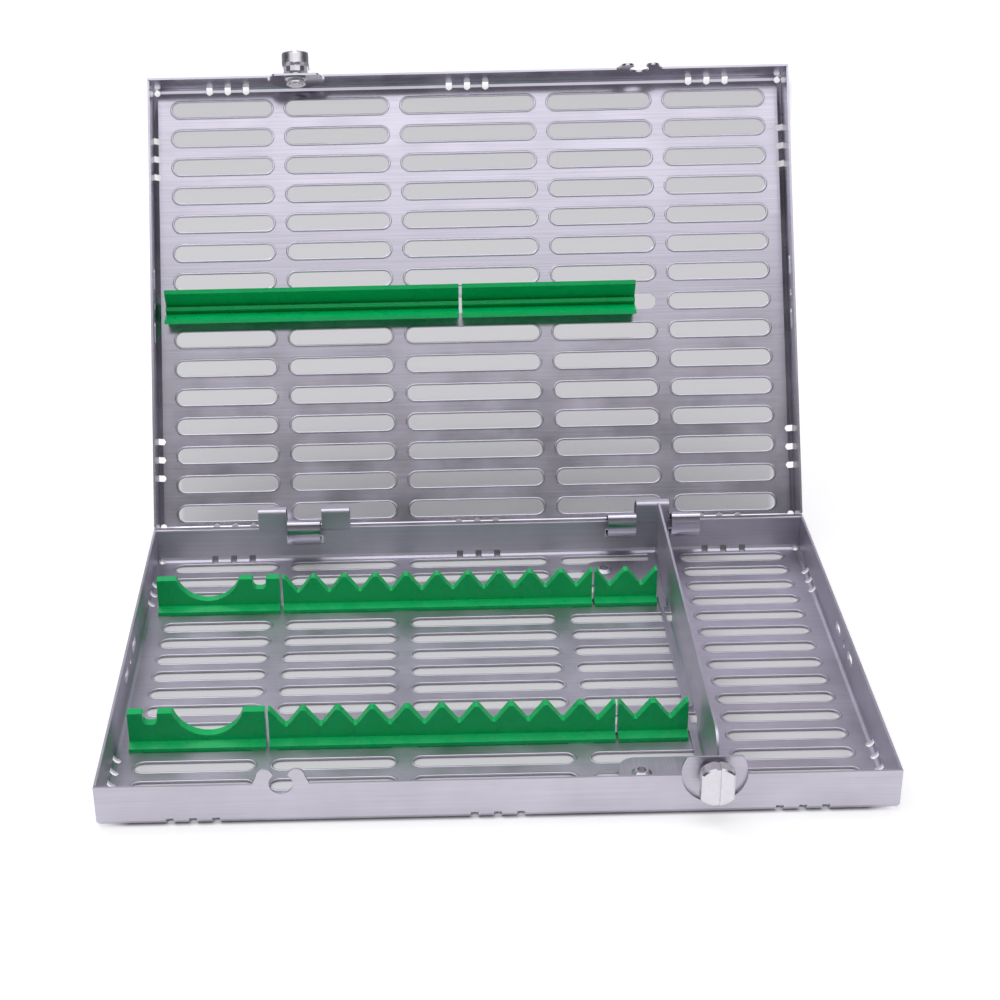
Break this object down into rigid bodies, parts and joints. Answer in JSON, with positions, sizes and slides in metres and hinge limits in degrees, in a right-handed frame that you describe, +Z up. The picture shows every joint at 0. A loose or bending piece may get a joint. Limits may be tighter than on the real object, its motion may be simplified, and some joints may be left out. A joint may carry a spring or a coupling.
{
  "type": "dental instrument cassette",
  "caption": "Perforated steel sterilisation cassette, hinged lid open, turn latches, green silicone instrument combs and a riveted partition.",
  "frame": {"origin": "centre of the base tray's underside, which is the rest face", "axes": "+Z up; +Y towards the hinges and the open lid; +X to the right as seen from the latch side"},
  "size_m": [0.28, 0.3222, 0.1958],
  "materials": {
    "polished_steel": "bright electropolished pressed sheet",
    "partition_steel": "bright polished sheet",
    "rivet_steel": "bright turned and peened",
    "green_silicone": "glossy moulded silicone",
    "latch_steel": "bright turned and tumbled"
  },
  "bodies": {
    "base": {"base_tray": "polished_steel", "partition": "partition_steel", "partition_rivet_front": "rivet_steel", "partition_rivet_rear": "rivet_steel", "partition_key_front": "rivet_steel", "partition_key_rear": "rivet_steel", "comb_rear_left": "green_silicone", "comb_rear_middle": "green_silicone", "comb_rear_right": "green_silicone", "comb_front_left": "green_silicone", "comb_front_middle": "green_silicone", "comb_front_right": "green_silicone"},
    "lid": {"lid_tray": "polished_steel", "lid_bar_left": "green_silicone", "lid_bar_right": "green_silicone"},
    "base_knob": {"base_latch_knob": "latch_steel", "base_latch_stem": "latch_steel", "base_latch_spring_washer": "latch_steel", "base_latch_retaining_washer": "latch_steel"},
    "lid_knob": {"lid_latch_knob": "latch_steel", "lid_latch_stem": "latch_steel", "lid_latch_spring_washer": "latch_steel", "lid_latch_retaining_washer": "latch_steel"}
  },
  "joints": [
    {"name": "lid_hinge", "type": "hinge", "parent": "base", "child": "lid", "pos_m": [0, 0.09855, 0.0165], "axis": [1, 0, 0], "range_deg": [0, 121.5]},
    {"name": "base_knob_turn", "type": "hinge", "parent": "base", "child": "base_knob", "pos_m": [0.075, -0.099, 0.0165], "axis": [0, -1, 0], "range_deg": [0, 90]},
    {"name": "lid_knob_turn", "type": "hinge", "parent": "lid", "child": "lid_knob", "pos_m": [-0.075, 0.20177, 0.18494], "axis": [0, 0.5225, 0.8526], "range_deg": [0, 90]}
  ]
}
